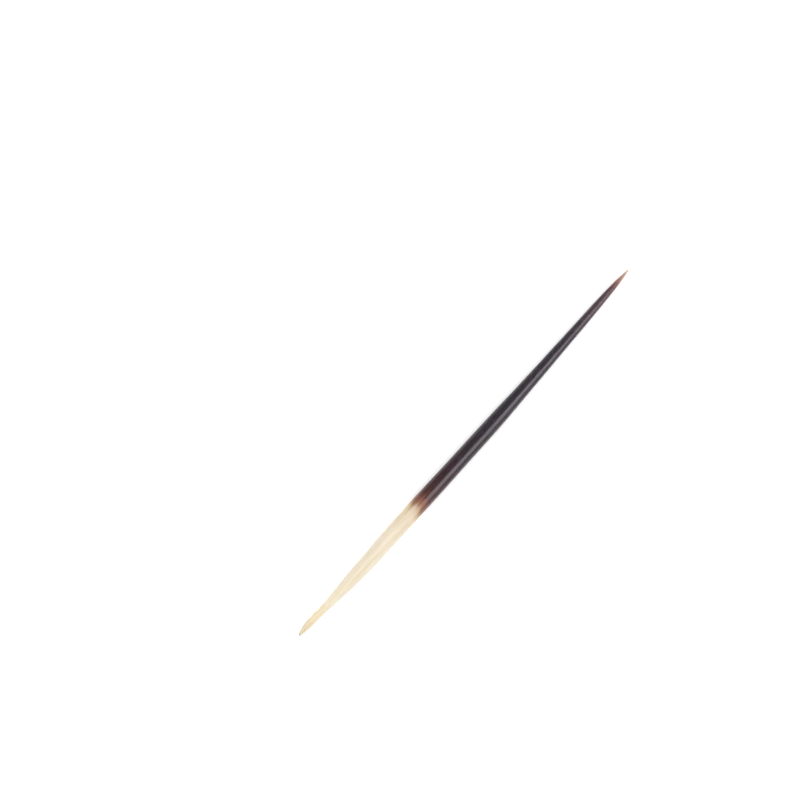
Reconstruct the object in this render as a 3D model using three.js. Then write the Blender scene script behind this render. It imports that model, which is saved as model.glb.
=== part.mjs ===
// A porcupine quill, lying on its belly on a level surface. Millimetres.
// +X runs from the root to the point and +Z is up. The origin is on the surface,
// under the middle of the quill's box.

import * as THREE from 'three';

// Driving dimensions
const quillLength = 180;
const sidesAround = 28; // an even number, so that one side faces straight down
const ringStep = 1.5; // distance between two rings of the skin
const rootCapLength = 0.5; // the root end is rounded over this length
const rootCapRings = 5;
const flatSides = 3; // the belly's underside is flat over this many sides
const flatHeight = 0.05; // the flat's height over the surface

// Thickness along the quill: [distance from the root end, diameter]
const thickness = [
  [0, 0.7], // narrow root end
  [1.5, 1.42],
  [3.5, 2.25],
  [6.5, 2.68], // root bulb
  [11, 2.7],
  [18, 3.34], // neck
  [23, 4.2], // flare into the shaft
  [29, 4.98],
  [39, 5.59],
  [50, 5.95],
  [60, 6.07],
  [68, 6.14], // thickest place
  [85, 5.9],
  [108, 5.5], // the long straight taper ends
  [123, 4.64],
  [145, 3.6],
  [163, 2.75],
  [171, 1.98], // the point narrows
  [175.6, 1.22],
  [180, 0],
];

// Sideways bend of the centre line, towards -Y: [distance from the root end, offset]
const sideBend = [
  [0, 0],
  [7, -0.12],
  [19, 0.4],
  [38, 0.63],
  [52, 0.54],
  [80, 0.72],
  [114, 0.8],
  [145, 0.48],
  [160, 0.26],
  [180, 0],
];

// Height of the centre line, both ends drooping from the belly: [distance from the root end, height]
const archHeight = [
  [0, 2.1],
  [22, 2.64],
  [44, 2.87],
  [75, 2.7],
  [108, 2.7],
  [180, 2.05],
];

// The quill is stiff, so it stands on three points of its underside, two at the flat's edges
// and one where the straight taper ends: [distance from the root end, corner of its ring].
// Corners 0 and 1 are the two ends of the lowest side, and -1 and 2 the next ones out.
const restPoints = [
  [51, -1],
  [51, 2],
  [108, 1],
];

// Colours of the horn: [distance from the root end, colour]
const hornColours = [
  [0, '#ecd9c4'],
  [5, '#f2e3c3'],
  [60, '#efe0c9'], // end of the pale root third
  [67, '#77503f'],
  [80, '#3f3036'],
  [165, '#4a3b40'], // end of the dark shaft
  [173, '#a97a5e'],
  [180, '#e6c4aa'],
];

// A smooth curve through stations of [distance, value]
function follow(stations) {
  const distances = stations.map(([distance]) => distance);
  const values = stations.map(([, value]) => value);
  const curve = new THREE.CubicInterpolant(distances, values, 1);
  return (distance) => curve.evaluate(distance)[0];
}

// The colour at a distance from the root end, mixed between its two neighbours
function colourAt(distance) {
  const next = Math.max(hornColours.findIndex(([place]) => place >= distance), 1);
  const [startPlace, startColour] = hornColours[next - 1];
  const [endPlace, endColour] = hornColours[next];
  const share = (distance - startPlace) / (endPlace - startPlace);
  return new THREE.Color(startColour).lerp(new THREE.Color(endColour), share);
}

// Half profile of the straight quill: the rounded root end, then rings up to the sharp point
function quillProfile() {
  const diameter = follow(thickness);
  const profile = [new THREE.Vector2(0, 0)];
  for (let ring = 1; ring < rootCapRings; ring++) {
    const turn = (ring / rootCapRings) * (Math.PI / 2);
    const distance = rootCapLength * (1 - Math.cos(turn));
    profile.push(new THREE.Vector2((diameter(distance) / 2) * Math.sin(turn), distance));
  }
  const shaftRings = Math.round((quillLength - rootCapLength) / ringStep);
  for (let ring = 0; ring < shaftRings; ring++) {
    const distance = rootCapLength + (ring / shaftRings) * (quillLength - rootCapLength);
    profile.push(new THREE.Vector2(diameter(distance) / 2, distance));
  }
  profile.push(new THREE.Vector2(0, quillLength));
  return profile;
}

// The quill's skin: turned straight, laid along +X, bent along its centre line and
// flattened a little where its belly lies on the surface
function quillGeometry() {
  const halfSide = Math.PI / sidesAround;
  const diameter = follow(thickness);
  const bend = follow(sideBend);
  const arch = follow(archHeight);

  const profile = quillProfile();
  const geometry = new THREE.LatheGeometry(profile, sidesAround, halfSide);
  geometry.rotateZ(-Math.PI / 2);

  const places = geometry.getAttribute('position');
  const colours = new Float32Array(places.count * 3);
  for (let corner = 0; corner < places.count; corner++) {
    const distance = Math.min(Math.max(places.getX(corner), 0), quillLength);
    const overFlat = flatHeight + (diameter(distance) / 2) * Math.cos(flatSides * halfSide);
    const height = places.getZ(corner) + Math.max(arch(distance), overFlat);
    places.setY(corner, places.getY(corner) - bend(distance));
    places.setZ(corner, Math.max(height, flatHeight));
    colourAt(distance).toArray(colours, corner * 3);
  }
  geometry.setAttribute('color', new THREE.BufferAttribute(colours, 3));

  const lowestSide = sidesAround / 2 - 1;
  for (const [distance, corner] of restPoints) {
    const ring = profile.findIndex((point) => point.y >= distance);
    places.setZ((lowestSide + corner) * profile.length + ring, 0);
  }

  geometry.computeBoundingBox();
  const middle = geometry.boundingBox.getCenter(new THREE.Vector3());
  geometry.translate(-middle.x, -middle.y, 0);
  geometry.computeVertexNormals();
  return geometry;
}

const horn = new THREE.MeshStandardMaterial({ vertexColors: true, roughness: 0.35, metalness: 0 });

const quill = new THREE.Mesh(quillGeometry(), horn);
quill.name = 'quill';

const group = new THREE.Group();
group.add(quill);

export default group;
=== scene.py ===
import math

import bpy
import numpy as np
from mathutils import Matrix, Vector, noise


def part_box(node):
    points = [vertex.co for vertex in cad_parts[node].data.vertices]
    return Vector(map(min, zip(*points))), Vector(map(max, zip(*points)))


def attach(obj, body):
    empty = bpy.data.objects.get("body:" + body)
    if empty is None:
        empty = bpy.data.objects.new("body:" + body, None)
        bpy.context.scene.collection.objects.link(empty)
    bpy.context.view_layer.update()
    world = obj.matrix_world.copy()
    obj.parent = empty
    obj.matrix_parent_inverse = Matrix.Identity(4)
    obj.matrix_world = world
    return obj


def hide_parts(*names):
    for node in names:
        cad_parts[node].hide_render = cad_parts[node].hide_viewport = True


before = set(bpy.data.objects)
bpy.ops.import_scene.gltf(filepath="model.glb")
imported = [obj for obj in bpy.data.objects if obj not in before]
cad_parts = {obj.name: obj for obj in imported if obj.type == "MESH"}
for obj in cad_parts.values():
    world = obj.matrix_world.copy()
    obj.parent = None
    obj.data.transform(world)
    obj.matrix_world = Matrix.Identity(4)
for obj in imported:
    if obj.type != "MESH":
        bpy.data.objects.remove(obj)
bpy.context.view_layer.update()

mm = 0.001  # metres in a millimetre
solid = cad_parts["quill"]
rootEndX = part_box("quill")[0].x / mm  # the root end is the low end along X
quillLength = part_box("quill")[1].x / mm - rootEndX
print("solid loaded,", round(quillLength, 1), "mm from root end to point")


# Sections of the quill, read off the rings of its solid

sameRing = 0.002  # mm along X between corners of one ring


def quillSections():
    # one row for each ring: distance from the root end, centre across, centre height, radius
    corners = np.array([corner.co for corner in solid.data.vertices]) / mm
    rows = []
    for place in np.unique(np.round(corners[:, 0], 3)):
        onRing = np.abs(corners[:, 0] - place) < sameRing
        ring = np.unique(np.round(corners[onRing], 4), axis=0)
        # how far the middle of a side is from the centre, as a share of the radius
        sideShare = math.cos(math.pi / len(ring)) if len(ring) > 2 else 1.0
        across = ring[:, 1]
        radius = np.ptp(across) / 2 / sideShare
        centreHeight = ring[:, 2].max() - radius * sideShare
        rows.append((place - rootEndX, (across.max() + across.min()) / 2, centreHeight, radius))
    return np.array(rows)


sections = quillSections()
print("sections read:", len(sections))


# Camera, straight above, with the quill lying up and to the right

view = {
    "pictureSide": 800,  # pixels
    "rootPixel": (298.7, 635.9),  # where the root end shows, from the top left corner
    "pointPixel": (631.2, 266.5),  # where the point shows
    "lens": 100.0,  # mm
    "sensor": 36.0,  # mm
}


def addCamera():
    rootPixel = Vector(view["rootPixel"])
    pointPixel = Vector(view["pointPixel"])
    along = pointPixel - rootPixel
    pixel = quillLength * mm / along.length  # metres that a pixel covers
    along.normalize()
    right = Vector((along.x, along.y, 0))  # rows run downwards, so along.y is below zero
    up = Vector((-along.y, along.x, 0))
    centre = Vector((view["pictureSide"] / 2,) * 2)
    offset = (centre - (rootPixel + pointPixel) / 2) * pixel
    middle = Vector((0, (sections[0, 1] + sections[-1, 1]) / 2 * mm, sections[:, 2].mean() * mm))
    height = view["pictureSide"] * pixel * view["lens"] / view["sensor"]
    place = middle + right * offset.x - up * offset.y + Vector((0, 0, height))
    turn = Matrix((right, up, (0, 0, 1))).transposed().to_4x4()

    camera = bpy.data.objects.new("camera", bpy.data.cameras.new("camera"))
    camera.data.lens = view["lens"]
    camera.data.sensor_width = view["sensor"]
    camera.matrix_world = Matrix.Translation(place) @ turn
    bpy.context.scene.collection.objects.link(camera)
    bpy.context.scene.camera = camera


addCamera()
print("camera placed")


# Skin of the quill: fine grooves along the shaft, a wrinkled root with a small pit in its end

skin = {
    "capLength": 0.5,  # mm, the root end is rounded over this length
    "capRings": 24,  # rings over the rounded root end
    "shaftRings": 314,  # rings from there to the point
    "grooves": 40,
    "columnsPerGroove": 7,  # corners from one groove to the next
    "grooveDepth": 0.042,  # mm, the deepest
    "shallowest": 0.25,  # share of that depth that the faintest groove has
    "faintness": 1.6,  # above 1 makes faint grooves more common than deep ones
    "grooveSharpness": 0.6,  # below 1 makes narrow grooves between round ridges
    "grooveSpread": 0.45,  # how unequal the ridges are in width
    "grooveStrength": 0.6,  # usual share of its depth that a groove has at a place
    "strengthChange": 0.8,  # how much that share changes along the groove
    "leastStrength": 0.15,
    "groovesStart": (12.0, 34.0),  # mm from the root end, where the grooves fade in
    "groovesEnd": (146.0, 174.0),  # mm, where they fade out before the point
    "wander": 0.07,  # how far a groove strays to the side, in radians
    "swell": 0.045,  # mm, slow unevenness of the shaft
    "wrinkle": 0.045,  # mm, wrinkles of the dried root
    "fineWrinkle": 0.6,  # share of that for the finer ones
    "wrinklesEnd": (12.0, 24.0),  # mm from the root end, where the wrinkles fade out
    "fullRelief": 2.0,  # mm, where the quill's radius is less its relief is finer
    "pitRadius": 0.22,  # mm
    "pitDepth": 0.2,  # mm
    "endShare": 0.004,  # share of the flat map's length for the faces at each end
    "seed": 5,
    # how quickly each kind of drift changes: (changes round the quill, mm along it, layer)
    "wanderDrift": (1.6, 38.0, 1),
    "strengthDrift": (3.0, 26.0, 2),
    "swellDrift": (0.7, 15.0, 3),
    "wrinkleDrift": (5.0, 3.2, 4),
    "fineWrinkleDrift": (9.0, 1.1, 5),
    "layerGap": 31.7,  # keeps the layers of drift apart
}


def fade(value, start, end):
    share = np.clip((value - start) / (end - start), 0, 1)
    return share * share * (3 - 2 * share)


def throughSections(steps):
    # values of a smooth curve through the sections; a step of 1 leads to the next section
    last = len(sections) - 1
    start = np.minimum(steps.astype(int), last - 1)
    share = (steps - start)[:, None]
    before = sections[np.maximum(start - 1, 0)]
    here = sections[start]
    ahead = sections[start + 1]
    after = sections[np.minimum(start + 2, last)]
    leave = (ahead - before) / 2
    arrive = (after - here) / 2
    bow = 3 * (ahead - here) - 2 * leave - arrive
    twist = 2 * (here - ahead) + leave + arrive
    return here + share * (leave + share * (bow + share * twist))


def skinSteps():
    # steps along the sections for the skin's rings, closer together over the rounded root end
    capEnd = skin["capLength"] - 0.01  # mm, just before the section where the rounding ends
    capSections = int(np.argmax(sections[:, 0] > capEnd))
    cap = np.linspace(0, capSections, skin["capRings"], endpoint=False)
    shaft = np.linspace(capSections, len(sections) - 1, skin["shaftRings"])
    return np.concatenate([cap, shaft])


def columnAngles():
    # for each column of corners: its angle, how high it is on its ridge, its groove's depth
    random = np.random.default_rng(skin["seed"])
    widths = 1 + skin["grooveSpread"] * random.uniform(-1, 1, skin["grooves"])
    edges = np.concatenate([[0], np.cumsum(widths)]) / widths.sum() * 2 * math.pi
    depths = random.random(skin["grooves"]) ** skin["faintness"]
    depths = skin["shallowest"] + (1 - skin["shallowest"]) * depths
    columns = []
    for groove in range(skin["grooves"]):
        nextDepth = depths[(groove + 1) % skin["grooves"]]
        for column in range(skin["columnsPerGroove"]):
            share = column / skin["columnsPerGroove"]
            angle = edges[groove] + share * (edges[groove + 1] - edges[groove])
            depth = depths[groove] if share < 0.5 else nextDepth
            columns.append((angle, math.sin(math.pi * share) ** skin["grooveSharpness"], depth))
    return columns


def drift(angle, distance, turns, length, layer):
    # soft random value from -1 to 1 that changes slowly along the quill and round it
    along = distance / length + layer * skin["layerGap"]
    return noise.noise((math.cos(angle) * turns, math.sin(angle) * turns, along))


def skinCorners():
    # places of all corners but the two ends, with their angle and distance from the root end
    rings = throughSections(skinSteps())
    columns = columnAngles()
    fromRoot = rings[:, 0]
    grooved = fade(fromRoot, *skin["groovesStart"]) * (1 - fade(fromRoot, *skin["groovesEnd"]))
    wrinkled = 1 - fade(fromRoot, *skin["wrinklesEnd"])
    corners = []
    marks = []
    for ring, (distance, across, height, radius) in enumerate(rings[1:-1], start=1):
        stout = min(radius / skin["fullRelief"], 1)
        pit = 0.0
        if distance < skin["capLength"]:
            pit = skin["pitDepth"] * float(1 - fade(radius, 0, skin["pitRadius"]))
        for angle, ridge, depth in columns:
            turned = angle + skin["wander"] * drift(angle, distance, *skin["wanderDrift"])
            change = skin["strengthChange"] * drift(angle, distance, *skin["strengthDrift"])
            strength = max(skin["grooveStrength"] + change, skin["leastStrength"])
            relief = -skin["grooveDepth"] * (1 - ridge) * depth * strength * grooved[ring]
            relief += skin["swell"] * drift(angle, distance, *skin["swellDrift"])
            creases = drift(angle, distance, *skin["wrinkleDrift"])
            creases += skin["fineWrinkle"] * drift(angle, distance, *skin["fineWrinkleDrift"])
            relief += skin["wrinkle"] * creases * wrinkled[ring]
            reach = radius + relief * stout
            side = across + reach * math.cos(turned)
            top = height + reach * math.sin(turned)
            corners.append((rootEndX + distance + pit, side, max(top, 0.0)))
            marks.append((math.cos(turned), math.sin(turned), distance))
    return corners, marks


def addSkin():
    corners, marks = skinCorners()
    columnCount = skin["grooves"] * skin["columnsPerGroove"]
    ringCount = len(corners) // columnCount
    pitFloor = (rootEndX + skin["pitDepth"], sections[0, 1], sections[0, 2])
    point = (rootEndX + quillLength, sections[-1, 1], sections[-1, 2])
    corners = [pitFloor] + corners + [point]
    marks = [(0, 0, 0)] + marks + [(0, 0, quillLength)]
    lastCorner = len(corners) - 1

    faces = []
    places = []  # for each face corner, its place on the flat map of the skin
    flatStart = skin["endShare"]
    flatEnd = 1 - skin["endShare"]
    flatStep = (flatEnd - flatStart) / (ringCount - 1)
    for ring in range(-1, ringCount):
        here = 1 + ring * columnCount
        ahead = here + columnCount
        low = flatStart + flatStep * ring
        high = flatStart + flatStep * (ring + 1)
        for column in range(columnCount):
            beside = (column + 1) % columnCount
            start = column / columnCount
            end = (column + 1) / columnCount
            if ring < 0:
                faces.append((0, ahead + beside, ahead + column))
                places += [(0.0, (start + end) / 2), (flatStart, end), (flatStart, start)]
            elif ring == ringCount - 1:
                faces.append((here + column, here + beside, lastCorner))
                places += [(flatEnd, start), (flatEnd, end), (1.0, (start + end) / 2)]
            else:
                faces.append((here + column, here + beside, ahead + beside, ahead + column))
                places += [(low, start), (low, end), (high, end), (high, start)]

    mesh = bpy.data.meshes.new("quillSkin")
    mesh.from_pydata([Vector(corner) * mm for corner in corners], [], faces)
    flatMap = mesh.uv_layers.new(name="OFBake")
    flatMap.data.foreach_set("uv", np.array(places, np.float32).ravel())
    mark = mesh.attributes.new("skinPlace", "FLOAT_VECTOR", "POINT")
    mark.data.foreach_set("vector", np.array(marks, np.float32).ravel())
    mesh.shade_smooth()
    mesh.validate()
    quill = bpy.data.objects.new("quillSkin", mesh)
    bpy.context.scene.collection.objects.link(quill)
    return quill


quill = addSkin()
print("skin built:", len(quill.data.polygons), "faces")


# Horn: pale root, streaked brown change of colour, near-black shaft, amber and pale point

horn = {
    # colours from the root end to the point: (mm, colour)
    "growth": [
        (0.0, "#867c70"),
        (0.7, "#aa9f94"),
        (2.0, "#c3baa6"),
        (8.0, "#ccc2ab"),
        (18.0, "#d0cbbb"),
        (50.0, "#d4ccbc"),
        (55.5, "#cfc6b5"),
        (60.0, "#cfc5b3"),
        (62.8, "#bcab94"),
        (64.5, "#8f694b"),
        (66.5, "#7f5243"),
        (69.0, "#4e3129"),
        (76.0, "#362227"),
        (90.0, "#2e252a"),
        (118.0, "#2b272f"),
        (150.0, "#342d33"),
        (163.0, "#4a3b3f"),
        (169.2, "#533f41"),
        (172.2, "#6a4a4a"),
        (174.3, "#896556"),
        (176.3, "#988472"),
        (178.0, "#8b756d"),
        (180.0, "#9a8278"),
    ],
    "fingerReach": 5.2,  # mm from the shortest to the longest finger at the two changes
    "threadReach": 18.0,  # mm, the furthest that a thin thread of colour could reach
    "threadFineness": 5.0,  # above 1 makes long threads rare
    "fingersStart": (20.0, 50.0),  # mm from the root end, where fingers and threads set in
    "sideLead": 0.4,  # mm by which the colour changes earlier on the -Y side
    "flankLead": 0.5,  # mm by which it changes earlier on both flanks than on top
    # streaks: (changes round the quill, changes in each mm along it, detail, layer)
    "broadFingers": (2.6, 0.03, 1.0, 3.0),
    "fineFingers": (11.0, 0.05, 2.0, 9.0),
    "threads": (22.0, 0.03, 2.0, 14.0),
    "clouds": (2.0, 0.06, 3.0, 21.0),
    "lines": (17.0, 0.04, 3.0, 33.0),
    "grain": (30.0, 0.25, 2.0, 40.0),
    "hairlines": (46.0, 0.5, 3.0, 50.0),
    "streakContrast": 0.55,
    # tints that multiply the colour: (streak value, colour)
    "paleClouds": [(0.3, "#f6f0ec"), (0.5, "#ffffff"), (0.7, "#fff8e5")],
    "paleLines": [(0.3, "#eadfcc"), (0.5, "#ffffff"), (0.72, "#fdf9f6")],
    "darkClouds": [(0.3, "#ffe6dc"), (0.5, "#f4f0f4"), (0.7, "#d8dcf0")],
    "darkToPale": (0.05, 0.45),  # brightness of the darkest and of the palest horn
    "roughPale": 0.8,
    "roughDark": 0.26,
    "roughGrain": 0.22,  # how much the grain changes the roughness
    "indexOfRefraction": 1.45,
    "glossTint": (1.0, 0.94, 1.0, 1.0),
    "scatterShare": 1.0,  # light that goes into the horn before it comes back
    "scatterDepth": 3.5,  # mm
    "scatterColours": (1.0, 0.94, 0.88),  # depth for red, green and blue, as shares
    "hairlineDepth": 0.02,  # mm
    "hairlineStrength": 0.6,
}


def linearColour(code):
    parts = [int(code[place:place + 2], 16) / 255 for place in (1, 3, 5)]
    linear = [part / 12.92 if part <= 0.04045 else ((part + 0.055) / 1.055) ** 2.4 for part in parts]
    return (*linear, 1.0)


def addNode(tree, kind, feeds, **settings):
    # a feed is either a value for a socket or the output of another node
    node = tree.nodes.new(kind)
    for name, value in settings.items():
        setattr(node, name, value)
    for socket, value in feeds.items():
        if isinstance(value, bpy.types.NodeSocket):
            tree.links.new(value, node.inputs[socket])
        else:
            node.inputs[socket].default_value = value
    return node


def calculate(tree, operation, first, second=0.0, third=0.0):
    feeds = {0: first, 1: second, 2: third}
    return addNode(tree, "ShaderNodeMath", feeds, operation=operation).outputs[0]


def spread(tree, value, lowIn, highIn, lowOut, highOut):
    feeds = {0: value, 1: lowIn, 2: highIn, 3: lowOut, 4: highOut}
    return addNode(tree, "ShaderNodeMapRange", feeds).outputs[0]


def blendColours(tree, share, first, second, way="MIX"):
    feeds = {0: share, 6: first, 7: second}
    return addNode(tree, "ShaderNodeMix", feeds, data_type="RGBA", blend_type=way).outputs[2]


def colourRun(tree, place, stations):
    # colour at a place, from stations of (place, colour)
    start, end = stations[0][0], stations[-1][0]
    share = spread(tree, place, start, end, 0.0, 1.0)
    run = addNode(tree, "ShaderNodeValToRGB", {0: share})
    stops = run.color_ramp.elements
    for number, (station, code) in enumerate(stations):
        position = (station - start) / (end - start)
        stop = stops[number] if number < 2 else stops.new(position)  # a new ramp has two stops
        stop.position = position
        stop.color = linearColour(code)
    return run.outputs[0]


def streaks(tree, skinPlace, roundScale, alongScale, detail, layer):
    # long streaks: a value round 0.5 that changes quickly round the quill and slowly along it
    scale = (roundScale, roundScale, alongScale)
    feeds = {"Vector": skinPlace, "Location": (0, 0, layer), "Scale": scale}
    stretched = addNode(tree, "ShaderNodeMapping", feeds).outputs[0]
    feeds = {"Vector": stretched, "Scale": 1.0, "Detail": detail, "Roughness": horn["streakContrast"]}
    return addNode(tree, "ShaderNodeTexNoise", feeds).outputs[0]


def hornMaterial():
    material = bpy.data.materials.new("groovedHorn")
    material.use_nodes = True
    tree = material.node_tree
    shader = tree.nodes["Principled BSDF"]
    mark = addNode(tree, "ShaderNodeAttribute", {}, attribute_name="skinPlace")
    skinPlace = mark.outputs["Vector"]  # across and up on a circle of radius 1, then mm along
    apart = addNode(tree, "ShaderNodeSeparateXYZ", {0: skinPlace}).outputs
    across, fromRoot = apart["X"], apart["Z"]

    # the colour changes along fingers and threads, earlier on the flanks
    broad = calculate(tree, "SUBTRACT", streaks(tree, skinPlace, *horn["broadFingers"]), 0.5)
    fine = calculate(tree, "SUBTRACT", streaks(tree, skinPlace, *horn["fineFingers"]), 0.5)
    threads = streaks(tree, skinPlace, *horn["threads"])
    threads = calculate(tree, "POWER", threads, horn["threadFineness"])
    lead = calculate(tree, "MULTIPLY_ADD", across, horn["flankLead"], -horn["sideLead"])
    place = calculate(tree, "MULTIPLY_ADD", across, lead, fromRoot)
    place = calculate(tree, "MULTIPLY_ADD", broad, horn["fingerReach"], place)
    place = calculate(tree, "MULTIPLY_ADD", fine, horn["fingerReach"], place)
    place = calculate(tree, "MULTIPLY_ADD", threads, horn["threadReach"], place)
    reach = calculate(tree, "SUBTRACT", place, fromRoot)
    settled = spread(tree, fromRoot, *horn["fingersStart"], 0.0, 1.0)
    place = calculate(tree, "MULTIPLY_ADD", reach, settled, fromRoot)
    colour = colourRun(tree, place, horn["growth"])

    # the pale part has warmer and pinker streaks, the dark part browner and bluer ones
    brightness = addNode(tree, "ShaderNodeRGBToBW", {0: colour}).outputs[0]
    pale = spread(tree, brightness, *horn["darkToPale"], 0.0, 1.0)
    clouds = streaks(tree, skinPlace, *horn["clouds"])
    lines = streaks(tree, skinPlace, *horn["lines"])
    paleClouds = colourRun(tree, clouds, horn["paleClouds"])
    paleLines = colourRun(tree, lines, horn["paleLines"])
    creamy = blendColours(tree, 1.0, colour, paleClouds, "MULTIPLY")
    creamy = blendColours(tree, 1.0, creamy, paleLines, "MULTIPLY")
    darkClouds = colourRun(tree, clouds, horn["darkClouds"])
    dusky = blendColours(tree, 1.0, colour, darkClouds, "MULTIPLY")
    tree.links.new(blendColours(tree, pale, dusky, creamy), shader.inputs["Base Color"])

    # the dark shaft is glossier than the root, and a fine grain runs along both
    grain = calculate(tree, "SUBTRACT", streaks(tree, skinPlace, *horn["grain"]), 0.5)
    rough = spread(tree, pale, 0.0, 1.0, horn["roughDark"], horn["roughPale"])
    rough = calculate(tree, "MULTIPLY_ADD", grain, horn["roughGrain"], rough)
    tree.links.new(rough, shader.inputs["Roughness"])
    shader.inputs["IOR"].default_value = horn["indexOfRefraction"]
    shader.inputs["Specular Tint"].default_value = horn["glossTint"]
    shader.inputs["Subsurface Weight"].default_value = horn["scatterShare"]
    shader.inputs["Subsurface Radius"].default_value = horn["scatterColours"]
    shader.inputs["Subsurface Scale"].default_value = horn["scatterDepth"] * mm

    hairlines = streaks(tree, skinPlace, *horn["hairlines"])
    depth = horn["hairlineDepth"] * mm
    feeds = {"Height": hairlines, "Strength": horn["hairlineStrength"], "Distance": depth}
    bump = addNode(tree, "ShaderNodeBump", feeds).outputs[0]
    tree.links.new(bump, shader.inputs["Normal"])
    return material


quill.data.materials.append(hornMaterial())
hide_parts("quill")
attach(quill, "root")
print("horn finished")


# Table and light: a white card lit a little from below, two soft boxes beside the quill and wide
# panels off its two ends

studio = {
    "roomLight": 0.3,
    "horizonLight": 1.0,  # the room is this bright up to the first of the heights below
    "horizonFade": (0.04, 0.16),  # as the sine of the height above the horizon
    "cardRadius": 3.0,  # m
    "cardCorners": 64,
    "cardColour": "#f8f8f8",
    "cardFibres": 900.0,  # how fine the card's fibres are
    "fibreShade": (0.99, 0.99, 0.985),  # red, green and blue of the darker fibres, as shares
    "cardRoughness": 0.95,
    "cardGloss": 0.1,
    "cardGlow": 0.12,  # light that comes up through the card
    # soft boxes: (name, direction from the quill, distance m, length m, width m, power W)
    "boxes": [
        ("besideBox", (0.13, -0.468, 0.875), 0.8, 0.48, 0.54, 4.45),
        ("lowBesideBox", (0.09, -0.87, 0.5), 0.8, 0.4, 0.42, 0.45),
    ],
    # bright panels far off, which light the whole table: (name, direction, width degrees, strength)
    "panels": [
        ("rootEndPanel", (-0.69, 0.32, 0.68), 35, 1.4),
        ("pointEndPanel", (0.69, 0.32, 0.68), 35, 1.4),
    ],
}


def addCard():
    mesh = bpy.data.meshes.new("whiteCard")
    count = studio["cardCorners"]
    rim = []
    for number in range(count):
        turn = 2 * math.pi * number / count
        rim.append((studio["cardRadius"] * math.cos(turn), studio["cardRadius"] * math.sin(turn), 0))
    mesh.from_pydata(rim, [], [tuple(range(count))])
    material = bpy.data.materials.new("mattCard")
    material.use_nodes = True
    tree = material.node_tree
    shader = tree.nodes["Principled BSDF"]
    feeds = {"Scale": studio["cardFibres"], "Detail": 2.0}
    fibre = addNode(tree, "ShaderNodeTexNoise", feeds).outputs[0]
    shade = linearColour(studio["cardColour"])
    darker = (*(part * share for part, share in zip(shade, studio["fibreShade"])), 1.0)
    tree.links.new(blendColours(tree, fibre, shade, darker), shader.inputs["Base Color"])
    shader.inputs["Roughness"].default_value = studio["cardRoughness"]
    shader.inputs["Specular IOR Level"].default_value = studio["cardGloss"]
    shader.inputs["Emission Color"].default_value = (1, 1, 1, 1)
    shader.inputs["Emission Strength"].default_value = studio["cardGlow"]
    mesh.materials.append(material)
    card = bpy.data.objects.new("whiteCard", mesh)
    bpy.context.scene.collection.objects.link(card)


def addBox(name, direction, distance, length, width, power):
    light = bpy.data.lights.new(name, "AREA")
    light.shape = "RECTANGLE"
    light.size = length
    light.size_y = width
    light.energy = power
    away = Vector(direction).normalized()
    level = Vector((0, 0, 1)).cross(away).normalized()  # the side of the given length lies level
    over = away.cross(level)
    turn = Matrix((level, over, away)).transposed().to_4x4()
    box = bpy.data.objects.new(name, light)
    box.matrix_world = Matrix.Translation(away * distance) @ turn
    bpy.context.scene.collection.objects.link(box)


def addPanel(name, direction, width, strength):
    light = bpy.data.lights.new(name, "SUN")
    light.angle = math.radians(width)
    light.energy = strength
    panel = bpy.data.objects.new(name, light)
    panel.matrix_world = Vector(direction).to_track_quat("Z", "Y").to_matrix().to_4x4()
    bpy.context.scene.collection.objects.link(panel)


def addRoom():
    # the room is white near the horizon and dimmer overhead
    room = bpy.data.worlds.new("whiteRoom")
    room.use_nodes = True
    tree = room.node_tree
    towards = addNode(tree, "ShaderNodeTexCoord", {}).outputs["Generated"]
    height = addNode(tree, "ShaderNodeSeparateXYZ", {0: towards}).outputs["Z"]
    low, high = studio["horizonFade"]
    strength = spread(tree, height, low, high, studio["horizonLight"], studio["roomLight"])
    background = tree.nodes["Background"].inputs
    background["Color"].default_value = (1, 1, 1, 1)
    tree.links.new(strength, background["Strength"])
    bpy.context.scene.world = room
    bpy.context.scene.view_settings.view_transform = "Standard"


addCard()
for box in studio["boxes"]:
    addBox(*box)
for panel in studio["panels"]:
    addPanel(*panel)
addRoom()
print("table and light set")
